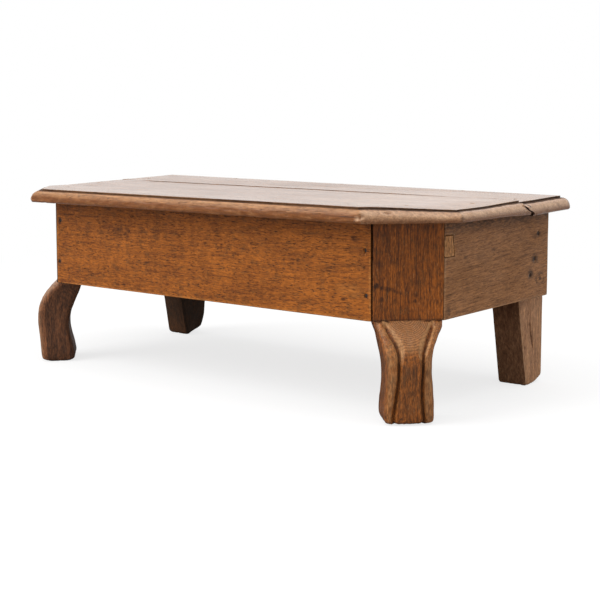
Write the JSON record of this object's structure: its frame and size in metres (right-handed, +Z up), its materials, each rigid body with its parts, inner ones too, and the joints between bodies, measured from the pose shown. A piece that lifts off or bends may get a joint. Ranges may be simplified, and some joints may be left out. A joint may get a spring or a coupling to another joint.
{
  "type": "church stool",
  "caption": "Low rectangular oak stool with a moulded top, clipped front corners, deep aprons, carved front legs and plain tapered rear legs.",
  "frame": {"origin": "on the floor, under the middle of the stool's plan", "axes": "+X along the stool, to the right as seen from its front; the front faces -Y; +Z up"},
  "size_m": [0.776, 0.3796, 0.2721],
  "materials": {
    "oak_top": "old waxed oak, worn pale with a soft sheen",
    "oak_front_apron": "warm waxed oak with long grain",
    "oak_side_apron": "greyer waxed oak with long grain",
    "oak_front_leg": "dark waxed oak, carved, with end grain on the knee",
    "oak_rear_leg": "dark dull oak, rubbed at the foot",
    "oak_patch": "paler oak, sawn face",
    "iron_nail": "dark rusted iron"
  },
  "bodies": {
    "root": {"top_front_board": "oak_top", "top_back_board": "oak_top", "front_apron": "oak_front_apron", "back_apron": "oak_side_apron", "side_apron_left": "oak_side_apron", "side_apron_right": "oak_side_apron", "side_apron_patch": "oak_patch", "front_leg_left": "oak_front_leg", "front_leg_right": "oak_front_leg", "rear_leg_left": "oak_rear_leg", "rear_leg_right": "oak_rear_leg", "front_apron_nail_left_1": "iron_nail", "front_apron_nail_left_2": "iron_nail", "front_apron_nail_right_1": "iron_nail", "front_apron_nail_right_2": "iron_nail", "side_apron_nail_left_1": "iron_nail", "side_apron_nail_left_2": "iron_nail", "side_apron_nail_left_3": "iron_nail", "side_apron_nail_right_1": "iron_nail", "side_apron_nail_right_2": "iron_nail", "side_apron_nail_right_3": "iron_nail", "back_apron_nail_left_1": "iron_nail", "back_apron_nail_left_2": "iron_nail", "back_apron_nail_right_1": "iron_nail", "back_apron_nail_right_2": "iron_nail", "top_front_board_nail_1": "iron_nail", "top_front_board_nail_2": "iron_nail", "top_front_board_nail_3": "iron_nail", "top_front_board_nail_4": "iron_nail", "top_front_board_nail_5": "iron_nail", "top_front_board_nail_6": "iron_nail", "top_front_board_nail_7": "iron_nail", "top_back_board_nail_1": "iron_nail", "top_back_board_nail_2": "iron_nail", "top_back_board_nail_3": "iron_nail", "top_back_board_nail_4": "iron_nail", "top_back_board_nail_5": "iron_nail"}
  },
  "joints": []
}
